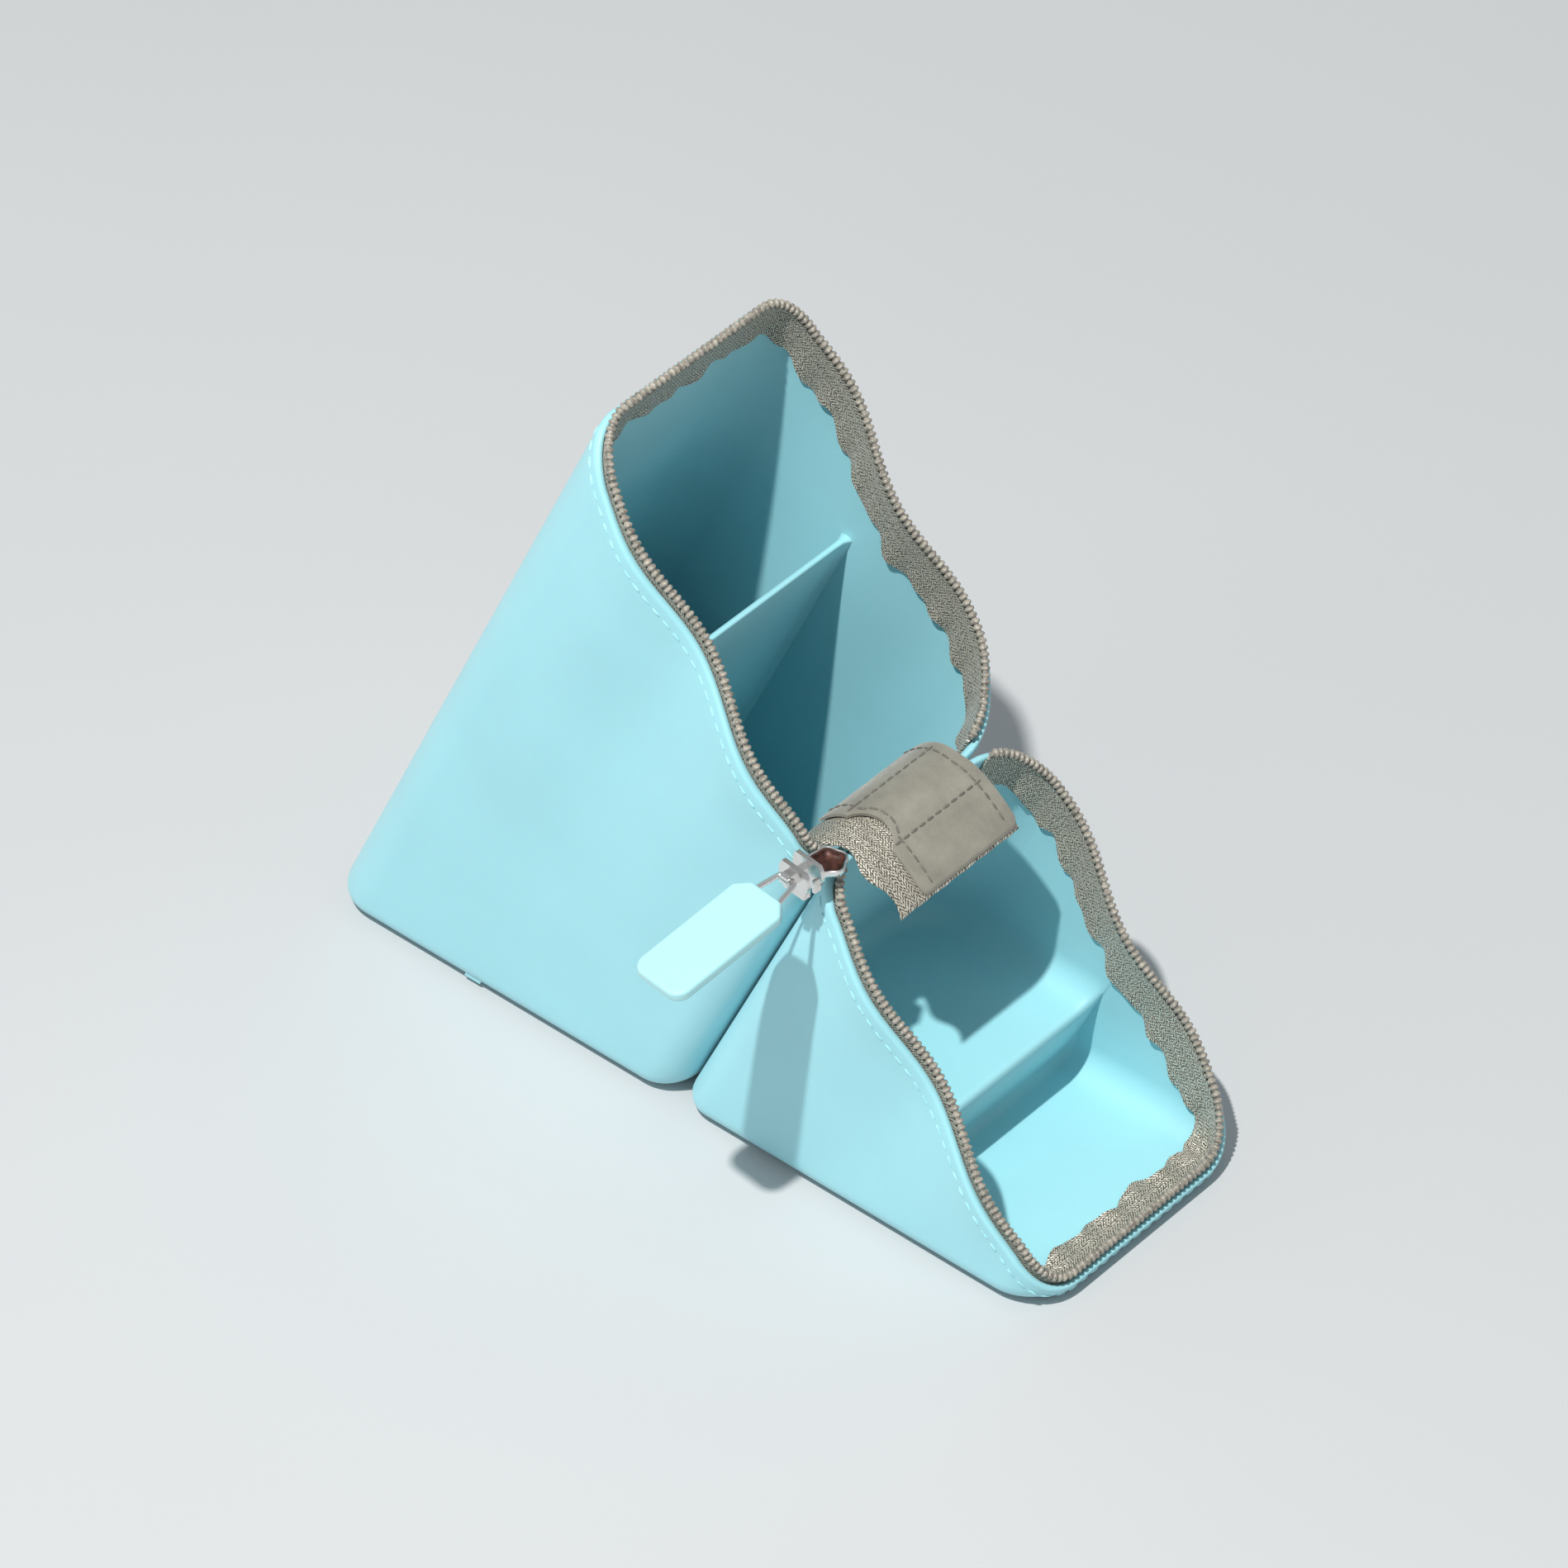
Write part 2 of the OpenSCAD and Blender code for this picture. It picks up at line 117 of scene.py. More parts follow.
class BAG_Sizes(bpy.types.PropertyGroup):
    tape_width: bpy.props.FloatProperty(
        name="Tape width", description="Zip tape seen inside each mouth, in mm", default=10.0, min=6, max=13)
    tape_scallop: bpy.props.FloatProperty(
        name="Tape scallop", description="How far the tape's cut edge waves, in mm", default=0.7, min=0,
        max=1.5)
    coil_pitch: bpy.props.FloatProperty(
        name="Coil pitch", description="Distance between coil turns, in mm", default=1.5, min=1, max=2.5)
    coil_radius: bpy.props.FloatProperty(
        name="Coil radius", description="Half the width of the coil, in mm", default=1.15, min=0.8, max=1.3)
    stitch_pitch: bpy.props.FloatProperty(
        name="Stitch pitch", description="Distance between rim stitches, in mm", default=3.6, min=2.5, max=6)
    divider: bpy.props.FloatProperty(
        name="Divider", description="Thickness of the tall cup's divider, in mm", default=1.8, min=1.2, max=3)
    wire: bpy.props.FloatProperty(
        name="Bail wire", description="Radius of the bail wire, in mm", default=0.7, min=0.5, max=0.75)


def colour_property(name, text, value):
    return bpy.props.FloatVectorProperty(
        name=name, description=text, subtype="COLOR", size=4, min=0, max=1, default=value)


class BAG_Colours(bpy.types.PropertyGroup):
    silicone: colour_property("Silicone", "Colour of both cups", (0.33, 0.68, 0.75, 1))
    tab: colour_property("Pull tab", "Colour of the silicone pull tab", (0.40, 0.73, 0.76, 1))
    tape: colour_property("Tape", "Main colour of the woven tape", (0.23, 0.215, 0.17, 1))
    coil: colour_property("Coil", "Colour of the nylon coil", (0.27, 0.25, 0.21, 1))
    suede: colour_property("Suede", "Colour of the fold patch", (0.27, 0.26, 0.215, 1))
    thread: colour_property("Thread", "Colour of the patch stitching", (0.13, 0.12, 0.10, 1))
    metal: colour_property("Metal", "Colour of the slider and bail", (0.83, 0.82, 0.80, 1))
    # Painted shadow, with a painted red-brown reflection, for the dark dish in the slider's mouth.
    mouth_shadow: colour_property("Mouth shadow", "Colour inside the slider's mouth", (0.035, 0.012, 0.008, 1))
    floor: colour_property("Floor", "Colour of the studio floor", (0.52, 0.535, 0.545, 1))


# ---------------------------------------------------------------- the bag's surfaces
# A straight side counts as an arc of this radius, so that one inset rule serves every station.
FLAT_R = 30.0


def stretch(a, b, n, normal):
    """Stations from a to b without its ends: rows of centre s, centre y, normal s, normal y, radius."""
    t = np.linspace(0, 1, n + 1)[1:-1, None]
    p = np.array(a) + (np.array(b) - np.array(a)) * t
    n_ = np.tile(normal, (len(p), 1))
    return np.hstack([p - n_ * FLAT_R, n_, np.full((len(p), 1), FLAT_R)])


def corner(cs, cy, r, direction, n=14):
    a = np.linspace(0, math.pi / 2, n)
    ns, ny = direction(np.cos(a), np.sin(a))
    return np.column_stack([np.full(n, cs), np.full(n, cy), ns, ny, np.full(n, r)])


def corners():
    """The outline's four corners, in order from the slider's end of the fold."""
    h, g = HALF_DEPTH, FOLD_GAP
    return (corner(g + FRONT_R, FRONT_R - h, FRONT_R, lambda c, s: (-c, -s)),
            corner(CASE_LEN - FAR_R, FAR_R - h, FAR_R, lambda c, s: (s, -c)),
            corner(CASE_LEN - FAR_R, h - FAR_R, FAR_R, lambda c, s: (c, s)),
            corner(g + BACK_R, h - BACK_R, BACK_R, lambda c, s: (-s, c), 20))


def mouth_stations():
    """Round the outline from the slider's end of the fold, by the far end, to the fold's back end."""
    h, lap = HALF_DEPTH, 1e-3
    near, far = STEP_AT - 0.15, STEP_AT + 0.15
    front_end, far_start, back_end = FOLD_GAP + FRONT_R, CASE_LEN - FAR_R, FOLD_GAP + BACK_R
    slider_corner, far_front, far_back, back = corners()
    return np.vstack([
        slider_corner,
        stretch((front_end, -h), (near, -h), 20, (0, -1)),
        stretch((near - lap, -h), (far + lap, -h), 3, (0, -1)),
        stretch((far, -h), (far_start, -h), 18, (0, -1)),
        far_front,
        stretch((CASE_LEN, FAR_R - h), (CASE_LEN, h - FAR_R), 16, (1, 0)),
        far_back,
        stretch((far_start, h), (far, h), 18, (0, 1)),
        stretch((far + lap, h), (near - lap, h), 3, (0, 1)),
        stretch((near, h), (back_end, h), 20, (0, 1)),
        back])


def spot(st, inset):
    r = np.maximum(st[:, 4] - inset, 0.3)
    return st[:, 0] + st[:, 2] * r, st[:, 1] + st[:, 3] * r


def plane_z(side, s):
    """Height of the parting plane at wall coordinate s."""
    return FOLD_H - side * s * FALL


def place(side, s, y, z):
    """A point at wall coordinate s, leaned and bowed like the silicone."""
    u = np.clip(s / CASE_LEN, 0, 1)
    bow = -np.cos(4 * math.pi * u) * (1 - (2 * u - 1) ** 6)
    reach = np.clip(z / plane_z(side, s), 0, 1)
    return np.stack([side * s + (z - FOLD_H) * LEAN, y * (1 + RIM_WAVE * bow * reach ** 2 / HALF_DEPTH),
                     z * np.ones_like(s)], axis=-1)


def top_z(side, st):
    return plane_z(side, spot(st, 0)[0])


def rim_z(side, st):
    return top_z(side, st) - RIM_DROP


def floor_z(side, st):
    raised = (side == SHORT) & (spot(st, 0)[0] < STEP_AT)
    return np.where(raised, STEP_H, FLOOR)


def lining(side, st, q, off):
    """Point q below the parting plane: down the inside wall, round the fillet and along the floor."""
    floor = floor_z(side, st)
    r = np.minimum(INNER_R, 0.9 * (rim_z(side, st) - floor))
    straight = top_z(side, st) - floor - r
    ang = np.clip((q - straight) / r, 0, math.pi / 2)
    beyond = np.maximum(q - straight - r * math.pi / 2, 0)
    inset = WALL + r - (r - off) * np.cos(ang) + beyond
    z = np.where(q < straight, top_z(side, st) - q, floor + r - (r - off) * np.sin(ang))
    return place(side, *spot(st, inset), z)


# ---------------------------------------------------------------- mesh making
def grid_faces(rows, cols, closed_cols, start=0):
    faces = []
    for j in range(rows - 1):
        for i in range(cols if closed_cols else cols - 1):
            a, b = j * cols + i, j * cols + (i + 1) % cols
            faces.append((start + a, start + b, start + b + cols, start + a + cols))
    return faces


def add_mesh(name, points, faces, body, material, replaces=(), sharp=40, uvs=None):
    mesh = bpy.data.meshes.new(name)
    mesh.from_pydata((np.asarray(points) * MM).tolist(), [], faces)
    if uvs is not None:
        layer = mesh.uv_layers.new(name="run")
        index = np.empty(len(mesh.loops), dtype=np.int32)
        mesh.loops.foreach_get("vertex_index", index)
        layer.data.foreach_set("uv", np.asarray(uvs, dtype=np.float32)[index].ravel())
    mesh.update()
    mesh.validate()
    obj = bpy.data.objects.new(name, mesh)
    bpy.context.scene.collection.objects.link(obj)
    outward_normals(obj)
    mesh.shade_smooth()
    mesh.set_sharp_from_angle(angle=math.radians(sharp))
    mesh.materials.append(material)
    if body:
        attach(obj, body)
    if replaces:
        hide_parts(*replaces)
    return obj


def outward_normals(obj):
    import bmesh
    work = bmesh.new()
    work.from_mesh(obj.data)
    bmesh.ops.recalc_face_normals(work, faces=work.faces)
    work.to_mesh(obj.data)
    work.free()


def soften(obj, width, segments=3):
    bevel = obj.modifiers.new("edge", "BEVEL")
    bevel.width = width * MM
    bevel.segments = segments
    bevel.limit_method = "ANGLE"
    bevel.angle_limit = math.radians(30)
    bevel.harden_normals = False


def ball(n, m):
    """Unit ball as points and faces, to be stretched and copied along a line."""
    points = [(1, 0, 0)]
    for j in range(1, m):
        a = math.pi * j / m
        for i in range(n):
            b = 2 * math.pi * i / n
            points.append((math.cos(a), math.sin(a) * math.cos(b), math.sin(a) * math.sin(b)))
    points.append((-1, 0, 0))
    faces = [(0, 1 + i, 1 + (i + 1) % n) for i in range(n)]
    for j in range(m - 2):
        for i in range(n):
            a, b = 1 + j * n + i, 1 + j * n + (i + 1) % n
            faces.append((a, a + n, b + n, b))
    last = len(points) - 1
    faces += [(last, last - n + (i + 1) % n, last - n + i) for i in range(n)]
    return np.array(points, dtype=float), faces


def unit(v):
    return v / np.linalg.norm(v, axis=-1, keepdims=True)


def evenly(line, pitch):
    """Places spaced by pitch along a polyline, from half a pitch in, with the direction at each."""
    seg = np.linalg.norm(np.diff(line, axis=0), axis=1)
    run = np.concatenate([[0], np.cumsum(seg)])
    d = np.arange(pitch * 0.5, run[-1], pitch)
    glance = 0.2

    def point(distance):
        return np.stack([np.interp(distance, run, line[:, k]) for k in range(3)], axis=1)

    return point(d), unit(point(np.minimum(d + glance, run[-1])) - point(np.maximum(d - glance, 0)))


def copies(at, tangents, normals, radii, shape):
    """Stretched balls at the given places: radii run along the tangent, the normal and across both."""
    points, faces = shape
    out, out_faces = [], []
    for p, t, n in zip(at, tangents, normals):
        n = unit(n - t * np.dot(n, t))
        basis = np.stack([t * radii[0], n * radii[1], np.cross(t, n) * radii[2]])
        start = len(out) * len(points)
        out.append(points @ basis + p)
        out_faces += [tuple(start + i for i in f) for f in faces]
    return np.vstack(out), out_faces


# ---------------------------------------------------------------- materials
class Maker:
    """Short calls for the nodes of one material."""

    def __init__(self, name):
        self.mat = bpy.data.materials.new(name)
        self.mat.use_nodes = True
        self.tree = self.mat.node_tree
        self.shader = self.tree.nodes["Principled BSDF"]

    def node(self, kind):
        return self.tree.nodes.new(kind)

    def link(self, a, b):
        self.tree.links.new(a, b)

    def place(self, scale, uv=False):
        co = self.node("ShaderNodeTexCoord")
        m = self.node("ShaderNodeMapping")
        m.inputs["Scale"].default_value = scale
        self.link(co.outputs["UV" if uv else "Object"], m.inputs["Vector"])
        return m.outputs["Vector"]

    def noise(self, vector, scale, detail=3.0, rough=0.5):
        n = self.node("ShaderNodeTexNoise")
        self.link(vector, n.inputs["Vector"])
        n.inputs["Scale"].default_value = scale
        n.inputs["Detail"].default_value = detail
        n.inputs["Roughness"].default_value = rough
        return n.outputs["Fac"]

    def ramp(self, factor, stops):
        r = self.node("ShaderNodeValToRGB")
        self.link(factor, r.inputs["Fac"])
        r.color_ramp.elements[0].position = stops[0][0]
        r.color_ramp.elements[0].color = stops[0][1]
        r.color_ramp.elements[1].position = stops[-1][0]
        r.color_ramp.elements[1].color = stops[-1][1]
        for where, value in stops[1:-1]:
            r.color_ramp.elements.new(where).color = value
        return r.outputs["Color"]

    def maths(self, operation, a, b=0.0):
        n = self.node("ShaderNodeMath")
        n.operation = operation
        for socket, value in ((n.inputs[0], a), (n.inputs[1], b)):
            if isinstance(value, (int, float)):
                socket.default_value = value
            else:
                self.link(value, socket)
        return n.outputs[0]

    def span(self, factor, low, high):
        n = self.node("ShaderNodeMapRange")
        self.link(factor, n.inputs["Value"])
        n.inputs["To Min"].default_value = low
        n.inputs["To Max"].default_value = high
        return n.outputs["Result"]

    def bump(self, height, distance, strength=1.0, under=None):
        n = self.node("ShaderNodeBump")
        self.link(height, n.inputs["Height"])
        n.inputs["Distance"].default_value = distance
        n.inputs["Strength"].default_value = strength
        if under is not None:
            self.link(under, n.inputs["Normal"])
        return n.outputs["Normal"]

    def finish(self, **sockets):
        for name, value in sockets.items():
            socket = self.shader.inputs[name.replace("_", " ")]
            if isinstance(value, (int, float, tuple)):
                socket.default_value = value
            else:
                self.link(value, socket)
        return self.mat


def shade(colour, k):
    return tuple(min(c * k, 1.0) for c in colour[:3]) + (1.0,)


def silicone_material(name, colour):
    """Moulded silicone: a soft satin skin, faint flow clouds, fine grain and a little dust."""
    m = Maker(name)
    at = m.place((1, 1, 1))
    cloud = m.noise(at, 28, 4)
    grain = m.noise(at, 5200, 2)
    ripple = m.noise(at, 240, 3)
    base = m.ramp(cloud, [(0.3, shade(colour, 0.965)), (0.7, shade(colour, 1.03))])
    bumps = m.bump(grain, 0.00004, 0.35, m.bump(ripple, 0.00008, 0.3))
    return m.finish(Base_Color=base, Roughness=m.span(cloud, 0.44, 0.54), Normal=bumps,
                    Subsurface_Weight=0.12, Subsurface_Radius=(0.004, 0.009, 0.011), Subsurface_Scale=0.3,
                    Specular_IOR_Level=0.42, Sheen_Weight=0.12, Sheen_Roughness=0.5)


def woven_material(name, colour):
    """Herringbone zip tape with bright metallic flecks; the run map is in metres along and across."""
    m = Maker(name)
    uv = m.place((1, 1, 1), uv=True)
    split = m.node("ShaderNodeSeparateXYZ")
    m.link(uv, split.inputs["Vector"])
    along, across = split.outputs["X"], split.outputs["Y"]
    rib, slant_pitch, cross_pitch = 0.0014, 0.00075, 0.00055
    zig = m.maths("PINGPONG", across, rib)
    slant = m.maths("SINE", m.maths("MULTIPLY", m.maths("ADD", along, zig), 2 * math.pi / slant_pitch))
    cross = m.maths("SINE", m.maths("MULTIPLY", across, 2 * math.pi / cross_pitch))
    weave = m.maths("MULTIPLY", m.maths("ADD", slant, m.maths("MULTIPLY", cross, 0.6)), 0.5)
    fleck = m.noise(uv, 1900, 2, 0.6)
    mix = m.maths("ADD", m.maths("MULTIPLY", weave, 0.28), fleck)
    base = m.ramp(mix, [(0.3, shade(colour, 0.2)), (0.46, shade(colour, 0.7)), (0.58, shade(colour, 2.2)),
                        (0.7, (0.85, 0.82, 0.73, 1))])
    metal = m.ramp(mix, [(0.58, (0, 0, 0, 1)), (0.7, (0.75, 0.75, 0.75, 1))])
    return m.finish(Base_Color=base, Roughness=m.span(mix, 0.62, 0.3), Metallic=metal,
                    Normal=m.bump(mix, 0.0003, 0.8), Sheen_Weight=0.25, Sheen_Roughness=0.4)


def coil_material(name, colour):
    m = Maker(name)
    at = m.place((1, 1, 1))
    tint = m.noise(at, 900, 2)
    base = m.ramp(tint, [(0.3, shade(colour, 0.6)), (0.7, shade(colour, 1.6))])
    return m.finish(Base_Color=base, Roughness=m.span(tint, 0.3, 0.5), Normal=m.bump(tint, 0.0001, 0.4),
                    Specular_IOR_Level=0.6)


def suede_material(name, colour):
    """Short nap: soft blotches, fine fibres, and a velvety edge."""
    m = Maker(name)
    at = m.place((1, 1, 1))
    blotch = m.noise(at, 130, 5, 0.6)
    fibre = m.noise(at, 3800, 4, 0.75)
    mix = m.maths("ADD", m.maths("MULTIPLY", blotch, 0.6), m.maths("MULTIPLY", fibre, 0.4))
    base = m.ramp(mix, [(0.3, shade(colour, 0.72)), (0.7, shade(colour, 1.28))])
    return m.finish(Base_Color=base, Roughness=m.span(fibre, 0.82, 0.96), Specular_IOR_Level=0.2,
                    Normal=m.bump(fibre, 0.00025, 0.7, m.bump(blotch, 0.0004, 0.4)),
                    Sheen_Weight=0.55, Sheen_Roughness=0.35)


def thread_material(name, colour):
    """Twisted thread: fine slanted plies over a slightly uneven dye."""
    m = Maker(name)
    at = m.place((1, 1, 1))
    wave = m.node("ShaderNodeTexWave")
    m.link(at, wave.inputs["Vector"])
    wave.bands_direction = "DIAGONAL"
    wave.inputs["Scale"].default_value = 900
    wave.inputs["Distortion"].default_value = 0.6
    dye = m.noise(at, 700, 2)
    base = m.ramp(dye, [(0.3, shade(colour, 0.8)), (0.7, shade(colour, 1.25))])
    return m.finish(Base_Color=base, Roughness=m.span(dye, 0.5, 0.66),
                    Normal=m.bump(wave.outputs["Fac"], 0.0001, 0.6), Sheen_Weight=0.3)


def metal_material(name, colour):
    """Polished nickel with a cast ripple and tiny scuffs."""
    m = Maker(name)
    at = m.place((1, 1, 1))
    ripple = m.noise(at, 260, 2)
    scuff = m.noise(m.place((1, 7, 1)), 900, 5, 0.7)
    base = m.ramp(ripple, [(0.3, shade(colour, 0.92)), (0.7, colour)])
    return m.finish(Base_Color=base, Metallic=1.0, Roughness=m.span(scuff, 0.1, 0.3),
                    Normal=m.bump(ripple, 0.00006, 0.3))


def mouth_shadow_material(name, colour):
    """Painted shadow for the slider's mouth: almost black, with a painted red-brown reflection."""
    m = Maker(name)
    # The noise makes the painted shadow uneven, from half to three times the given colour.
    shadow_mottle = m.noise(m.place((1, 1, 1)), 700, 4)
    base = m.ramp(shadow_mottle, [(0.35, shade(colour, 0.5)), (0.7, shade(colour, 3.0))])
    return m.finish(Base_Color=base, Roughness=m.span(shadow_mottle, 0.3, 0.6), Metallic=0.4)


def floor_material(name, colour):
    m = Maker(name)
    at = m.place((1, 1, 1))
    mottle = m.noise(at, 3, 3)
    tooth = m.noise(at, 900, 3)
    base = m.ramp(mottle, [(0.35, shade(colour, 0.99)), (0.65, shade(colour, 1.01))])
    return m.finish(Base_Color=base, Roughness=m.span(mottle, 0.7, 0.8), Normal=m.bump(tooth, 0.00005, 0.2))


MATERIALS = {}


def material(key):
    if key not in MATERIALS:
        c = bpy.context.scene.bag_colours
        makers = {
            "silicone": lambda: silicone_material("aqua_silicone", tuple(c.silicone)),
            "tab": lambda: silicone_material("mint_silicone", tuple(c.tab)),
            "tape": lambda: woven_material("flecked_tape", tuple(c.tape)),
            "coil": lambda: coil_material("nylon_coil", tuple(c.coil)),
            "suede": lambda: suede_material("grey_suede", tuple(c.suede)),
            "thread": lambda: thread_material("patch_thread", tuple(c.thread)),
            "rim_thread": lambda: thread_material("aqua_thread", shade(tuple(c.silicone), 1.12)),
            "metal": lambda: metal_material("polished_nickel", tuple(c.metal)),
            # Painted shadow and painted reflection for the slider's mouth.
            "mouth_shadow": lambda: mouth_shadow_material("painted_mouth_shadow", tuple(c.mouth_shadow)),
            "floor": lambda: floor_material("studio_paper", tuple(c.floor)),
        }
        MATERIALS[key] = makers[key]()
    return MATERIALS[key]


# ---------------------------------------------------------------- cups
CROSS_S = np.concatenate([np.linspace(18.8, 50, 10), np.linspace(51.5, 55.99, 8), np.linspace(56.01, 61.5, 8),
                          np.linspace(66, 92.9, 9)])


def cup_stations():
    """Stations whose front and back rows face each other at the same distances from the fold."""
    h = HALF_DEPTH

    def side_rows(values, ny):
        n = len(values)
        return np.column_stack([values, np.full(n, ny * (h - FLAT_R)), np.zeros(n), np.full(n, ny),
                                np.full(n, FLAT_R)])

    slider_corner, far_front, far_back, back = corners()
    rows = [slider_corner, side_rows(np.array([11.5, 14.0, 16.5]), -1.0), side_rows(CROSS_S, -1.0), far_front,
            stretch((CASE_LEN, FAR_R - h), (CASE_LEN, h - FAR_R), 16, (1, 0)), far_back,
            side_rows(CROSS_S[::-1], 1.0), back,
            stretch((FOLD_GAP, h - BACK_R), (FOLD_GAP, FRONT_R - h), 14, (-1, 0))]
    starts = np.cumsum([0] + [len(r) for r in rows])
    return np.vstack(rows), int(starts[2]), int(starts[6])


def step_floor(side, s):
    """Inside floor height: the short cup's step has a rounded nose and a coved foot."""
    if side == TALL:
        return np.full_like(s, FLOOR)
    a = np.clip((s - (STEP_AT - NOSE)) / NOSE, 0, 1)
    b = np.clip((STEP_AT + COVE - s) / COVE, 0, 1)
    return np.where(s < STEP_AT, STEP_H - NOSE * (1 - np.sqrt(1 - a ** 2)),
                    FLOOR + COVE * (1 - np.sqrt(1 - b ** 2)))


def cup(side):
    """One cup's skin: up the outside, over the rolled rim, down the inside and across the floor."""
    st, front_at, back_at = cup_stations()
    n = len(st)
    s_out = spot(st, 0)[0]
    rim = rim_z(side, st)
    lip = WALL / 2
    rows = []
    base = np.minimum(BASE_R, 0.8 * rim)
    for a in np.linspace(0, math.pi / 2, 9):
        rows.append(place(side, *spot(st, base * (1 - math.sin(a))), base * (1 - math.cos(a))))
    for t in np.linspace(0, 1, 26)[1:]:
        z = base + (rim - lip - base) * t
        line = MOULD_LINE_PROUD * np.exp(-((z - MOULD_LINE_Z) / MOULD_LINE_WIDTH) ** 2) if side == TALL else 0
        rows.append(place(side, *spot(st, -line), z))
    for a in np.linspace(0, math.pi, 9)[1:]:
        rows.append(place(side, *spot(st, lip * (1 - math.cos(a))), rim - lip + lip * math.sin(a)))
    floor = step_floor(side, s_out)
    r = np.minimum(INNER_R, 0.9 * (rim - floor))
    for t in np.linspace(0, 1, 26)[1:]:
        rows.append(place(side, *spot(st, WALL), rim - lip + (floor + r - rim + lip) * t))
    for a in np.linspace(0, math.pi / 2, 10)[1:]:
        rows.append(place(side, *spot(st, WALL + r * (1 - math.cos(a))), floor + r - r * math.sin(a)))
    points = np.vstack(rows)
    faces = grid_faces(len(rows), n, True)
    faces.append(tuple(range(n))[::-1])
    last = (len(rows) - 1) * n
    k = len(CROSS_S)
    for i in range(k - 1):
        a, b = front_at + i, back_at + k - 1 - i
        faces.append((last + a, last + a + 1, last + b - 1, last + b))
    faces.append(tuple(last + i for i in range(front_at + k - 1, back_at + 1)))
    faces.append(tuple(last + i % n for i in range(back_at + k - 1, n + front_at + 1)))
    name = BODY[side] + "_cup"
    return add_mesh(name + "_silicone", points, faces, BODY[side], material("silicone"),
                    [name], 48)


def divider():
    """The tall cup's inner wall: a leaning slab with a rolled top edge, let into the walls."""
    half = bpy.context.scene.bag_sizes.divider / 2
    loop = [(-half, FLOOR - 1)] + [(-half, z) for z in np.linspace(20, DIVIDER_H - half, 10)]
    loop += [(-half * math.cos(a), DIVIDER_H - half + half * math.sin(a))
             for a in np.linspace(0, math.pi, 9)[1:-1]]
    loop += [(half, z) for z in np.linspace(DIVIDER_H - half, 20, 10)] + [(half, FLOOR - 1)]
    columns = np.linspace(-HALF_DEPTH + 1, HALF_DEPTH - 1, 24)
    points = []
    for y in columns:
        ease = 1.6 * max(0, (abs(y) - (HALF_DEPTH - 4.5)) / 3.5) ** 2
        for ds, z in loop:
            points.append(place(TALL, np.array([DIVIDER_AT + ds * (1 + ease)]), np.array([y]),
                                np.array([float(z)]))[0])
    m = len(loop)
    faces = grid_faces(len(columns), m, True)
    faces += [tuple(range(m))[::-1], tuple(range(len(points) - m, len(points)))]
    return add_mesh("tall_divider", points, faces, "tall", material("silicone"), (), 50)


# ---------------------------------------------------------------- zip
def mouth_run(step):
    """Mouth stations, all but the fold side, spaced evenly by about step."""
    st = mouth_stations()[3:-3]
    s, y = spot(st, WALL)
    run = np.concatenate([[0], np.cumsum(np.hypot(np.diff(s), np.diff(y)))])
    d = np.linspace(0, run[-1], int(run[-1] / step) + 1)
    rows = np.stack([np.interp(d, run, st[:, k]) for k in range(5)], axis=1)
    rows[:, 2:4] = unit(rows[:, 2:4])
    return rows, d


def tape(side):
    """Woven tape glued inside the mouth, gathered a little, with a scalloped cut edge."""
    sizes = bpy.context.scene.bag_sizes
    st, d = mouth_run(0.8)
    rng = np.random.default_rng(4 + side)
    phase = rng.uniform(0, 6, 4)
    scallop = sizes.tape_scallop * (np.sin(d * 0.47 + phase[0]) + 0.8 * np.sin(d * 0.29 + phase[1])
                                    + 0.25 * np.sin(d * 1.1 + phase[2]))
    width = sizes.tape_width + scallop
    levels = np.linspace(0, 1, 12)
    rows, uvs = [], []
    for off_k, order in ((1, levels), (0, levels[::-1])):
        for t in order:
            pucker = 0.5 * t ** 1.3 * (np.sin(d * 0.72 + phase[3]) + 0.6 * np.sin(d * 0.41 + phase[1]) + 1.3)
            off = TAPE_GAP + pucker * t + (TAPE_THICK - 0.15 * t) * off_k
            rows.append(lining(side, st, TAPE_TOP + t * width, off))
            uvs.append(np.stack([d, t * width], axis=1) * MM)
    n = len(st)
    points = np.vstack(rows)
    m = len(rows)
    faces = grid_faces(m, n, False)
    faces += [(i + 1, i, (m - 1) * n + i, (m - 1) * n + i + 1) for i in range(n - 1)]
    faces += [tuple(j * n for j in range(m)), tuple(j * n + n - 1 for j in range(m))[::-1]]
    name = BODY[side] + "_tape"
    obj = add_mesh(name + "_woven", points, faces, BODY[side], material("tape"), [name], 50,
                   np.vstack(uvs))
    return obj


def coil(side):
    """Nylon coil turns round their filler cord, just proud of the rim."""
    sizes = bpy.context.scene.bag_sizes
    st, _ = mouth_run(0.5)
    line = place(side, *spot(st, COIL_INSET), top_z(side, st) - COIL_DROP)
    at, tangent = evenly(line, sizes.coil_pitch)
    up = np.tile(np.array([0.0, 0.0, 1.0]), (len(at), 1))
    r = sizes.coil_radius
    points, faces = copies(at, tangent, up, (TURN_HALF_LENGTH, r, r), ball(10, 6))
    name = BODY[side] + "_coil"
    add_mesh(name + "_teeth", points, faces, BODY[side], material("coil"),
             [name, name + "_core"], 60)
    points, faces = tube(line, unit(np.gradient(line, axis=0)), CORD_R, 8)
    add_mesh(name + "_cord", points, faces, BODY[side], material("coil"), (), 60)


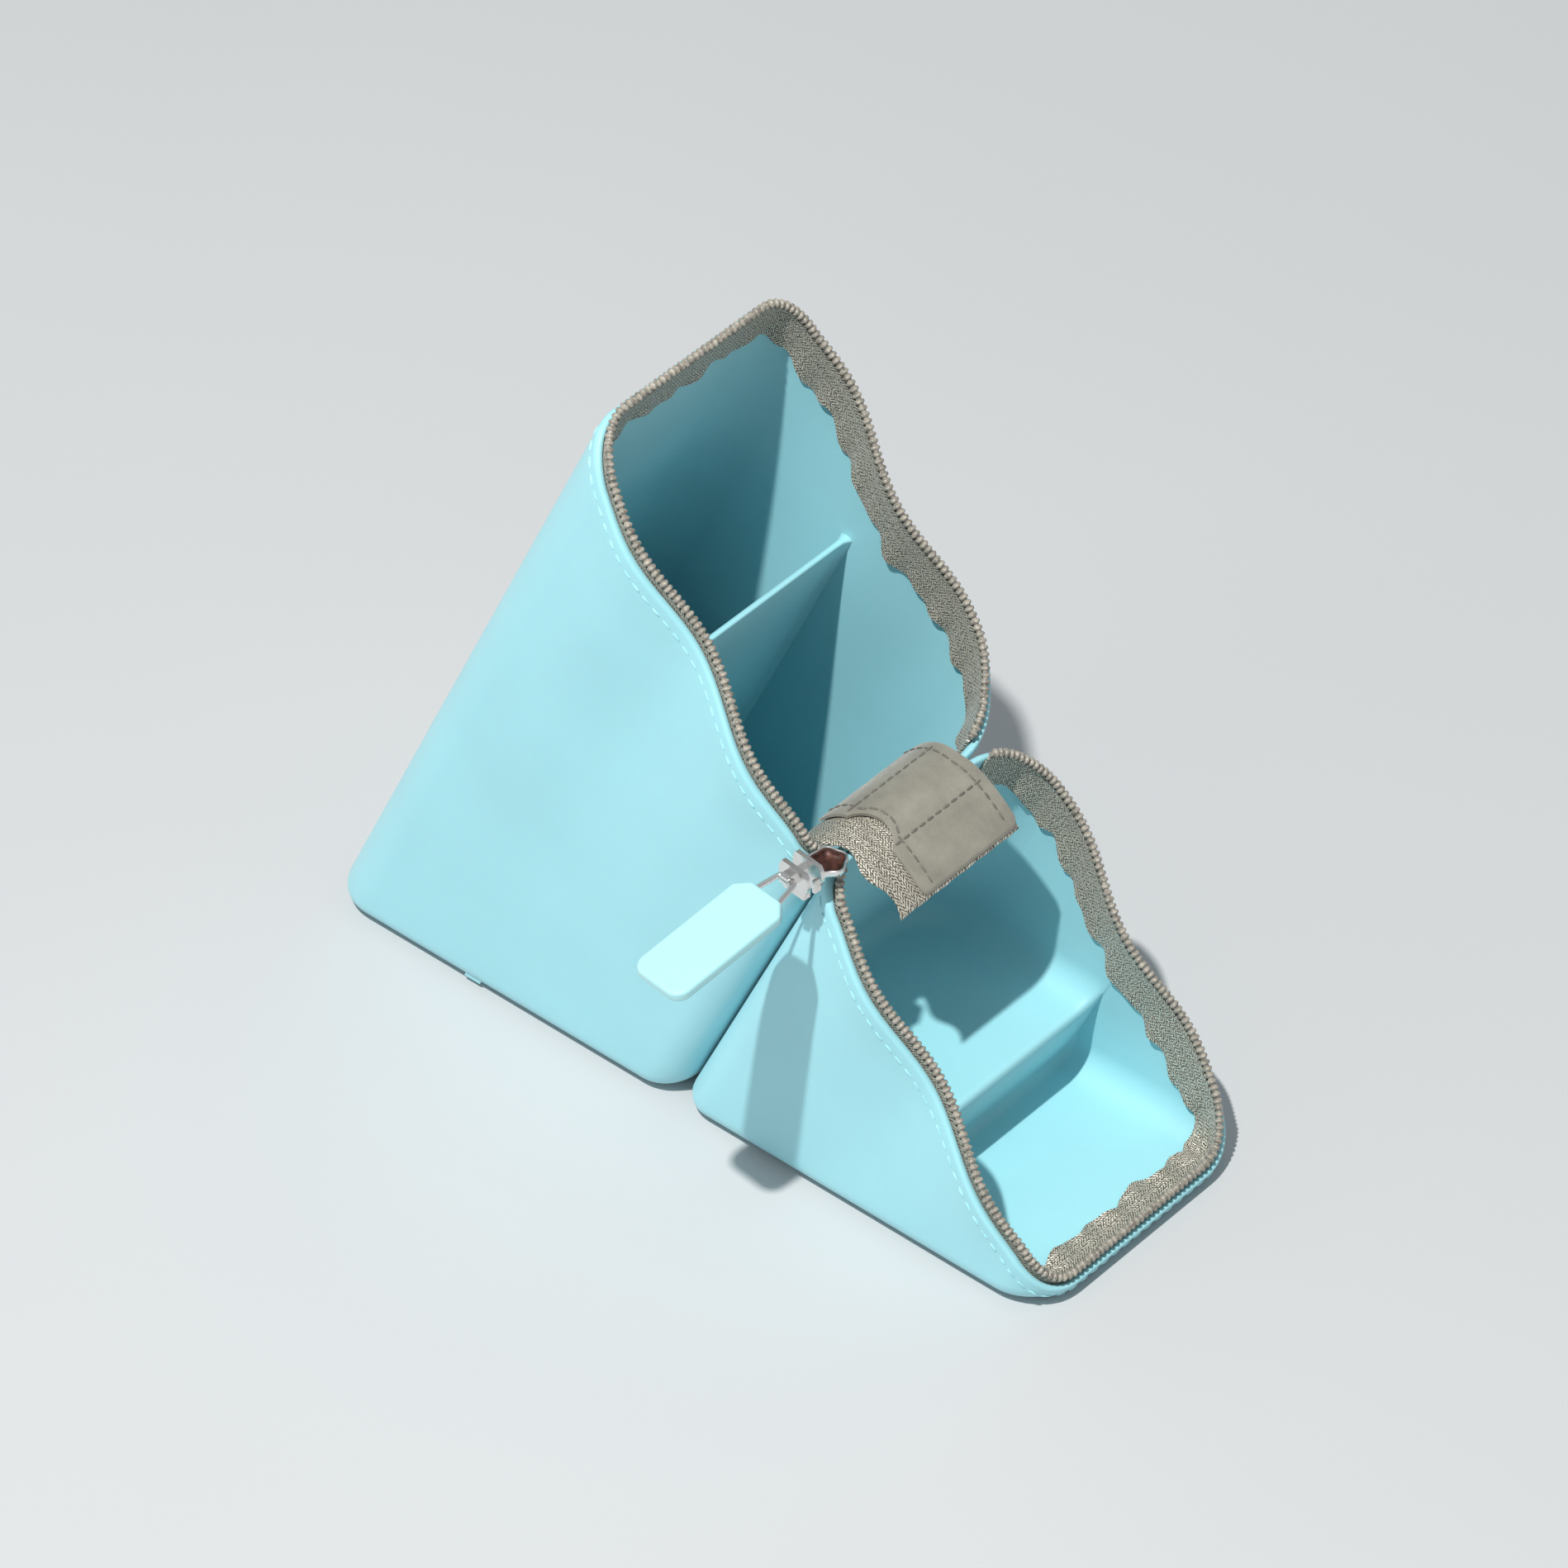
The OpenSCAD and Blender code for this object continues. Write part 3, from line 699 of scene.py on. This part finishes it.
def tube(line, tangents, r, n):
    """A round tube of n sides along a line, closed at both ends."""
    up = np.array([0.0, 0.0, 1.0])
    points = []
    for p, t in zip(line, tangents):
        u = unit(np.cross(t, up if abs(t[2]) < 0.95 else np.array([0.0, 1.0, 0.0])))
        v = np.cross(u, t)
        a = np.arange(n) * 2 * math.pi / n
        points.append(p + r * (np.cos(a)[:, None] * u + np.sin(a)[:, None] * v))
    points = np.vstack(points)
    faces = grid_faces(len(line), n, True)
    faces += [tuple(range(n))[::-1], tuple(range(len(points) - n, len(points)))]
    return points, faces


def rim_stitches(side):
    """Stitches half sunk in the outside wall below the rim, or on the base's round where that is low."""
    sizes = bpy.context.scene.bag_sizes
    st, _ = mouth_run(0.5)
    base = np.minimum(BASE_R, 0.8 * rim_z(side, st))
    proud = 0.04
    z = np.maximum(rim_z(side, st) - STITCH_DROP, 0.7 * base)
    inset = np.where(z < base, base - np.sqrt(np.maximum(base ** 2 - (base - z) ** 2, 0)), 0) - proud
    line = place(side, *spot(st, inset), z)
    normal = place(side, *spot(st, inset - 1), z) - line
    at, tangent = evenly(line, sizes.stitch_pitch)
    near = [int(np.argmin(((line - p) ** 2).sum(axis=1))) for p in at]
    points, faces = copies(at, tangent, unit(normal[near]), RIM_STITCH, ball(8, 8))
    name = BODY[side] + "_rim_thread"
    add_mesh(name + "_stitches", points, faces, BODY[side], material("rim_thread"), [name], 60)


# ---------------------------------------------------------------- fold
def strap_z(x, off):
    """The arched strap over the fold; x is across the fold, negative on the tall side."""
    u = np.abs(x) / REACH
    tall = STRAP_RISE * np.sin(math.pi * np.minimum(u, 1)) - TALL_SAG * u ** 2.6
    return FOLD_H - STRAP_LIFT + off + np.where(x < 0, tall, -SHORT_SAG * u ** 1.7)


def strap_sheet(name, x, low, high, off, thick, slot_name, mat, replaced, waves):
    """A sheet over the fold from x's first to last value, with y between low and high at each x."""
    columns = 44
    t = np.linspace(0, 1, columns)
    top, bottom, uvs = [], [], []
    for xi, a, b in zip(x, low, high):
        y = a + (b - a) * t
        lift = waves * (np.sin(y * 0.9 + xi * 0.5) + 0.6 * np.sin(y * 2.1 - xi * 0.8))
        edge = 0.25 * np.exp(-((y - a) / 0.5) ** 2) + 0.25 * np.exp(-((b - y) / 0.5) ** 2)
        z = strap_z(np.full(columns, xi), off) + lift
        top.append(np.column_stack([np.full(columns, xi), y, z + thick - edge]))
        bottom.append(np.column_stack([np.full(columns, xi), y, z]))
        uvs.append(np.column_stack([np.full(columns, xi), y]) * MM)
    m, n = len(x), columns
    points = np.vstack(top + bottom)
    faces = grid_faces(m, n, False) + [f[::-1] for f in grid_faces(m, n, False, m * n)]
    ring = list(range(n)) + [j * n + n - 1 for j in range(1, m)]
    ring += [(m - 1) * n + i for i in range(n - 2, -1, -1)] + [j * n for j in range(m - 2, 0, -1)]
    for a, b in zip(ring, ring[1:] + ring[:1]):
        faces.append((b, a, a + m * n, b + m * n))
    return across_fold(name, points, faces, mat, replaced, np.vstack(uvs + uvs))


def across_fold(name, points, faces, mat, replaced, uvs=None):
    """A piece laid over the fold, attached to neither cup."""
    obj = add_mesh(name, points, faces, None, mat, replaced, 50, uvs)
    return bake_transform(obj)


def patch_edges(x):
    """The suede's two edges at each x: scooped towards the slider, with round corners."""
    low = np.full_like(x, STRAP_Y - PATCH_W / 2)
    centre = low[0] - SCOOP_OUT
    inside = np.abs(x) < math.sqrt(SCOOP_R ** 2 - SCOOP_OUT ** 2)
    low = np.where(inside, centre + np.sqrt(np.maximum(SCOOP_R ** 2 - x ** 2, 0)), low)
    high = np.full_like(x, STRAP_Y + PATCH_W / 2)
    c = np.clip((np.abs(x) - (REACH - PATCH_CORNER)) / PATCH_CORNER, 0, 1)
    cut = PATCH_CORNER * (1 - np.sqrt(1 - c ** 2))
    return low + cut, high - cut


def fold_pieces():
    x = np.linspace(-REACH, REACH, 50)
    low = TAPE_MID_Y - TAPE_HALF + 1.2 * np.cos(x * 0.5)
    high = np.full_like(x, TAPE_MID_Y + TAPE_HALF)
    fold_tape = strap_sheet("fold_tape_woven", x, low, high, TAPE_OFF, FOLD_TAPE_THICK, "zip_tape",
                            material("tape"), ["fold_tape_tall", "fold_tape_short"], 0.12)
    inner = REACH - PATCH_CORNER
    x = np.concatenate([np.linspace(-REACH, -inner, 8)[:-1], np.linspace(-inner, inner, 60),
                        np.linspace(inner, REACH, 8)[1:]])
    patch = strap_sheet("patch_suede", x, *patch_edges(x), PATCH_OFF, PATCH_THICK, "suede",
                        material("suede"), ["patch_tall", "patch_short"], 0.03)
    stitches()


def stitches():
    """Hash-shaped stitching: two lines across the fold and two along it, on the patch."""
    lines = []
    samples, hem = 200, 1.6
    across = np.linspace(-REACH + 0.8, REACH - 0.8, samples)
    low, high = patch_edges(across)
    lines.append((across, np.maximum(low + hem, STRAP_Y - PATCH_W / 2 + SEAM_IN)))
    lines.append((across, np.minimum(high - hem, STRAP_Y + PATCH_W / 2 - SEAM_IN)))
    for x in LONG_SEAMS:
        along = np.linspace(np.interp(x, across, low) + 0.6, STRAP_Y + PATCH_W / 2 - 0.6, samples)
        lines.append((np.full(samples, x), along))
    for i, (x, y) in enumerate(lines):
        z = strap_z(x, PATCH_OFF + PATCH_THICK + THREAD_LIFT)
        at, tangent = evenly(np.column_stack([x, y, z]), PATCH_PITCH)
        up = np.tile([0.0, 0.0, 1.0], (len(at), 1))
        points, faces = copies(at, tangent, up, PATCH_STITCH, ball(8, 8))
        replaced = ["patch_thread_tall", "patch_thread_short"] if i == 0 else []
        across_fold(f"patch_stitches_{i + 1}", points, faces, material("thread"), replaced)


# ---------------------------------------------------------------- slider and pull
def at_pull(points):
    """From the pull's own frame to the bag's: drooped on its pin and turned with the slider."""
    x, y, z = np.asarray(points, dtype=float).T
    c, s = math.cos(DROOP), math.sin(DROOP)
    y, z = y * c - z * s, y * s + z * c
    c, s = math.cos(TURN), math.sin(TURN)
    return np.column_stack([x * c - y * s, x * s + y * c, z]) + PIN


def slider():
    """Metal plates and lug keep the frame's shapes; a lobed lip and a dark dish of painted shadow sit on top.
    """
    for node in ("slider_body", "slider_lug"):
        obj = frame["nodes"][node]
        for slot in obj.material_slots:
            slot.material = material("metal")
        soften(obj, 0.22)
    slider_mouth()


def lobed(r, z, n=72):
    a = np.arange(n) * 2 * math.pi / n
    wave = r * (1 + 0.07 * np.cos(5 * a + 0.6))
    return np.column_stack([wave * np.cos(a), wave * np.sin(a), np.full(n, z)])


def slider_mouth():
    """The lobed lip on top of the slider, and inside it a dark dish of painted shadow with a painted
    red-brown reflection.
    """
    centre = np.array(MOUTH) + (0, 0, FOLD_H)
    rings = [lobed(3.55, -1.6), lobed(4.1, -1.2), lobed(4.35, -0.2), lobed(4.3, 0.35), lobed(4.05, 0.5),
             lobed(3.75, 0.35), lobed(3.65, -0.2), lobed(3.5, -1.4)]
    n = len(rings[0])
    points = np.vstack(rings) + centre
    faces = grid_faces(len(rings), n, True)
    last = (len(rings) - 1) * n
    faces += [(last + i, last + (i + 1) % n, (i + 1) % n, i) for i in range(n)]
    add_mesh("slider_lip", points, faces, "tall", material("metal"), (), 50)
    # A dark dish of painted shadow with a painted reflection, where the mouth is only in shade.
    rings = [lobed(r, z) for r, z in ((3.7, -0.15), (3.4, -0.7), (2.6, -1.15), (1.3, -1.35), (0.3, -1.4))]
    points = np.vstack(rings) + centre
    last = (len(rings) - 1) * n
    faces = grid_faces(len(rings), n, True) + [tuple(last + i for i in range(n))]
    add_mesh("slider_mouth_shadow", points, faces, "tall", material("mouth_shadow"), (), 50)


def bail():
    """A closed loop of bent wire: pin, two arms and end bar, with round bends."""
    sides = 16
    wire = bpy.context.scene.bag_sizes.wire
    bends = [(-PIN_HALF, 0), (PIN_HALF, 0), (END_HALF, -BAIL_LEN), (-END_HALF, -BAIL_LEN)]
    line = []
    for i in range(4):
        a, b, c = (np.array(bends[(i + k) % 4], dtype=float) for k in (-1, 0, 1))
        first, last = b + unit(a - b) * WIRE_BEND, b + unit(c - b) * WIRE_BEND
        for t in np.linspace(0, 1, 8):
            line.append((1 - t) ** 2 * first + 2 * t * (1 - t) * b + t ** 2 * last)
    line = np.column_stack([np.array(line), np.zeros(len(line))])
    points, _ = tube(line, unit(np.roll(line, -1, axis=0) - np.roll(line, 1, axis=0)), wire, sides)
    n = len(line)
    faces = [(j * sides + i, j * sides + (i + 1) % sides, (j + 1) % n * sides + (i + 1) % sides,
              (j + 1) % n * sides + i) for j in range(n) for i in range(sides)]
    add_mesh("bail_wire", at_pull(points), faces, "pull", material("metal"),
             ["pull_bail"], 60)


def pull_tab():
    """The silicone tab: chamfered near corners, round far ones, and soft edges."""
    near, half = TAB_LAP - BAIL_LEN, TAB_HALF_W
    far, r = near - TAB_LEN, TAB_END_R
    outline = [(-half, near - TAB_CHAMFER), (TAB_CHAMFER - half, near), (half - TAB_CHAMFER, near),
               (half, near - TAB_CHAMFER)]
    for a in np.linspace(0, math.pi / 2, 10):
        outline.append((half - r + r * math.cos(a), far + r - r * math.sin(a)))
    for a in np.linspace(math.pi / 2, 0, 10):
        outline.append((-half + r - r * math.cos(a), far + r - r * math.sin(a)))
    m = len(outline)
    points = np.vstack([np.column_stack([outline, np.full(m, z)]) for z in (-TAB_HALF_T, TAB_HALF_T)])
    faces = [tuple(range(m)), tuple(range(2 * m - 1, m - 1, -1))]
    faces += [(i, (i + 1) % m, m + (i + 1) % m, m + i) for i in range(m)]
    obj = add_mesh("pull_tab_silicone", at_pull(points), faces, "pull", material("tab"),
                   ["pull_tab"], 30)
    soften(obj, 0.8, 5)


# ---------------------------------------------------------------- studio
def studio():
    mesh = bpy.data.meshes.new("floor")
    mesh.from_pydata([(-6, -6, 0), (6, -6, 0), (6, 6, 0), (-6, 6, 0)], [], [(0, 1, 2, 3)])
    mesh.materials.append(material("floor"))
    floor = bpy.data.objects.new("studio_floor", mesh)
    bpy.context.scene.collection.objects.link(floor)
    world = bpy.data.worlds.new("studio")
    world.use_nodes = True
    background = world.node_tree.nodes["Background"]
    background.inputs["Color"].default_value = (0.93, 0.96, 1.0, 1)
    background.inputs["Strength"].default_value = 0.42
    bpy.context.scene.world = world
    lamp("key", (0.22, -0.98, 2.15), 0.06, 60.0, (1, 0.985, 0.96))
    lamp("front_fill", (-0.9, -1.9, 0.8), 1.2, 4.0, (1, 1, 1))
    camera = bpy.data.cameras.new("camera")
    camera.sensor_width = 36
    camera.lens = CAMERA_LENS
    camera.shift_x, camera.shift_y = CAMERA_SHIFT
    camera.clip_end = 30
    obj = bpy.data.objects.new("camera", camera)
    bpy.context.scene.collection.objects.link(obj)
    a, e = math.radians(CAMERA_AZ), math.radians(CAMERA_EL)
    back = Vector((math.sin(a) * math.cos(e), -math.cos(a) * math.cos(e), math.sin(e)))
    obj.location = AIM + back * CAMERA_DISTANCE
    obj.rotation_euler = back.to_track_quat("Z", "Y").to_euler()
    bpy.context.scene.camera = obj
    bpy.context.scene.view_settings.view_transform = "Standard"


def lamp(name, where, size, power, colour):
    data = bpy.data.lights.new(name, "AREA")
    data.shape = "DISK"
    data.size = size
    data.energy = power
    data.color = colour
    obj = bpy.data.objects.new(name, data)
    bpy.context.scene.collection.objects.link(obj)
    obj.location = Vector(where)
    obj.rotation_euler = (Vector(where) - AIM).to_track_quat("Z", "Y").to_euler()


# ---------------------------------------------------------------- operators and panel
class BAG_OT_cups(bpy.types.Operator):
    """Build the tall and the short silicone cup with their divider and step"""
    bl_idname = "bag.cups"
    bl_label = "Silicone cups"

    def execute(self, context):
        for side in (TALL, SHORT):
            cup(side)
        divider()
        return {"FINISHED"}


class BAG_OT_zip(bpy.types.Operator):
    """Build the woven tapes and nylon coils round both mouths"""
    bl_idname = "bag.zip"
    bl_label = "Zip tapes and coils"

    def execute(self, context):
        for side in (TALL, SHORT):
            tape(side)
            coil(side)
        return {"FINISHED"}


class BAG_OT_rim_stitches(bpy.types.Operator):
    """Build the stitches in the silicone below each rim"""
    bl_idname = "bag.rim_stitches"
    bl_label = "Rim stitches"

    def execute(self, context):
        for side in (TALL, SHORT):
            rim_stitches(side)
        return {"FINISHED"}


class BAG_OT_fold(bpy.types.Operator):
    """Build the tape, suede patch and stitching that bend across the fold"""
    bl_idname = "bag.fold"
    bl_label = "Fold patch"

    def execute(self, context):
        fold_pieces()
        return {"FINISHED"}


class BAG_OT_slider(bpy.types.Operator):
    """Finish the zip slider in polished metal"""
    bl_idname = "bag.slider"
    bl_label = "Slider"

    def execute(self, context):
        slider()
        return {"FINISHED"}


class BAG_OT_pull(bpy.types.Operator):
    """Build the bent wire bail and the silicone pull tab"""
    bl_idname = "bag.pull"
    bl_label = "Bail and pull tab"

    def execute(self, context):
        bail()
        pull_tab()
        return {"FINISHED"}


class BAG_OT_studio(bpy.types.Operator):
    """Set up the floor, lights, world and camera"""
    bl_idname = "bag.studio"
    bl_label = "Studio"

    def execute(self, context):
        studio()
        return {"FINISHED"}


OPERATORS = (BAG_OT_cups, BAG_OT_zip, BAG_OT_rim_stitches, BAG_OT_fold, BAG_OT_slider, BAG_OT_pull,
             BAG_OT_studio)


class BAG_PT_panel(bpy.types.Panel):
    """Sizes, colours and build buttons of the zip bag"""
    bl_idname = "BAG_PT_panel"
    bl_label = "Zip Bag"
    bl_space_type = "VIEW_3D"
    bl_region_type = "UI"
    bl_category = "Zip Bag"

    def draw(self, context):
        for group in (context.scene.bag_sizes, context.scene.bag_colours):
            box = self.layout.box()
            for name in group.__annotations__:
                box.prop(group, name)
        for operator in OPERATORS:
            self.layout.operator(operator.bl_idname)


CLASSES = (BAG_Sizes, BAG_Colours) + OPERATORS + (BAG_PT_panel,)


def register():
    for item in CLASSES:
        bpy.utils.register_class(item)
    bpy.types.Scene.bag_sizes = bpy.props.PointerProperty(type=BAG_Sizes)
    bpy.types.Scene.bag_colours = bpy.props.PointerProperty(type=BAG_Colours)


def unregister():
    del bpy.types.Scene.bag_colours
    del bpy.types.Scene.bag_sizes
    for item in reversed(CLASSES):
        bpy.utils.unregister_class(item)


def main():
    register()
    bpy.ops.bag.cups()
    bpy.ops.bag.zip()
    bpy.ops.bag.rim_stitches()
    bpy.ops.bag.fold()
    bpy.ops.bag.slider()
    bpy.ops.bag.pull()
    bpy.ops.bag.studio()


if __name__ == "__main__":
    main()
